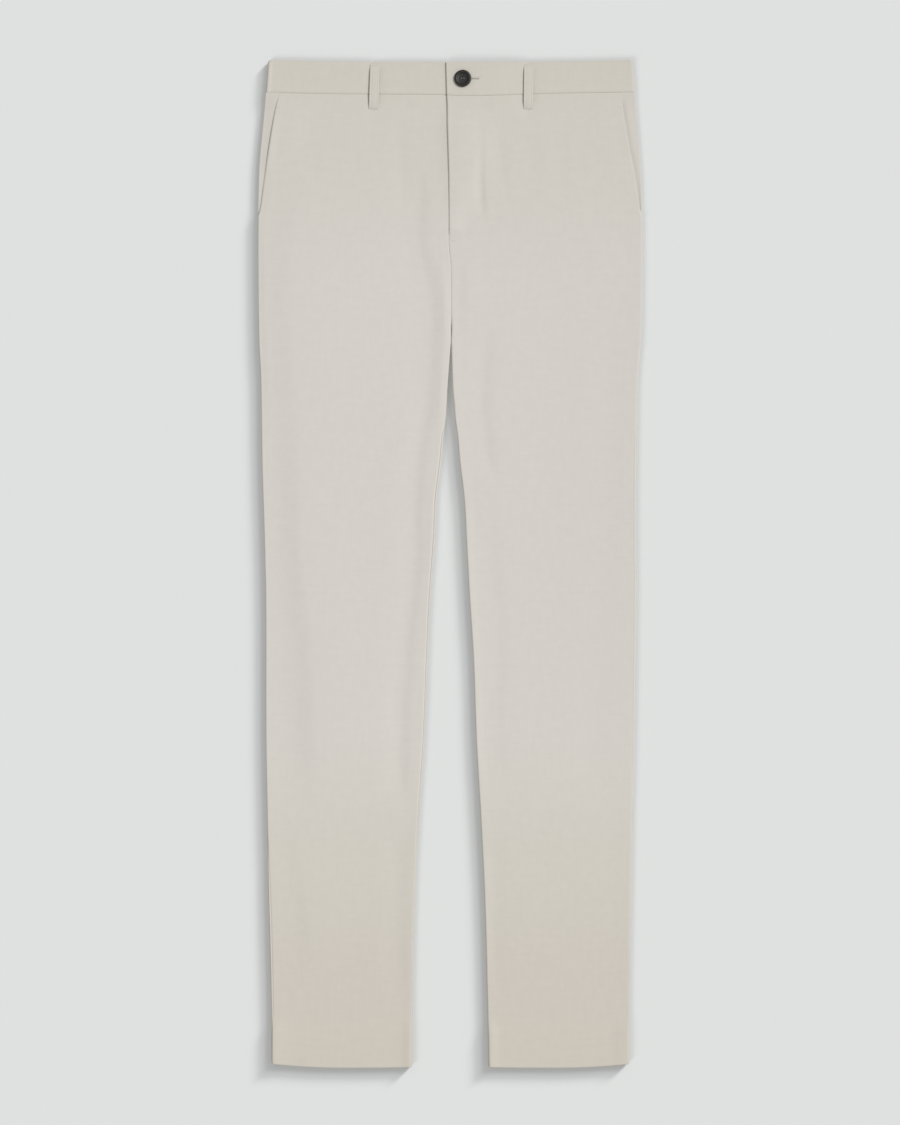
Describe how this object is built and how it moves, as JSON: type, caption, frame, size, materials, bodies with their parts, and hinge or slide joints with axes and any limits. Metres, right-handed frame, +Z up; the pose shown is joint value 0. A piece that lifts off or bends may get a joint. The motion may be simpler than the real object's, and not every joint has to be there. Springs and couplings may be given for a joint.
{
  "type": "ponte trousers",
  "caption": "Straight-leg ponte trousers laid flat, front up: waistband with belt loops, buttoned fly, slanted side pockets and plain turned-up hems.",
  "frame": {"origin": "middle of the footprint, on the surface that the trousers lie on", "axes": "+X to the wearer's left, +Y from the hems to the waist, +Z up, out of the front of the trousers"},
  "size_m": [0.4349, 1.1389, 0.0108],
  "materials": {
    "ponte_cloth": "matte, smooth double-knit with a faint melange and a soft nap",
    "button_plastic": "dark moulded plastic with a low satin gloss"
  },
  "bodies": {
    "root": {"front_right": "ponte_cloth", "front_left": "ponte_cloth", "back_right": "ponte_cloth", "back_left": "ponte_cloth", "pocket_facing_right": "ponte_cloth", "pocket_facing_left": "ponte_cloth", "waistband": "ponte_cloth", "belt_loop_right": "ponte_cloth", "belt_loop_left": "ponte_cloth", "button": "button_plastic"}
  },
  "joints": []
}
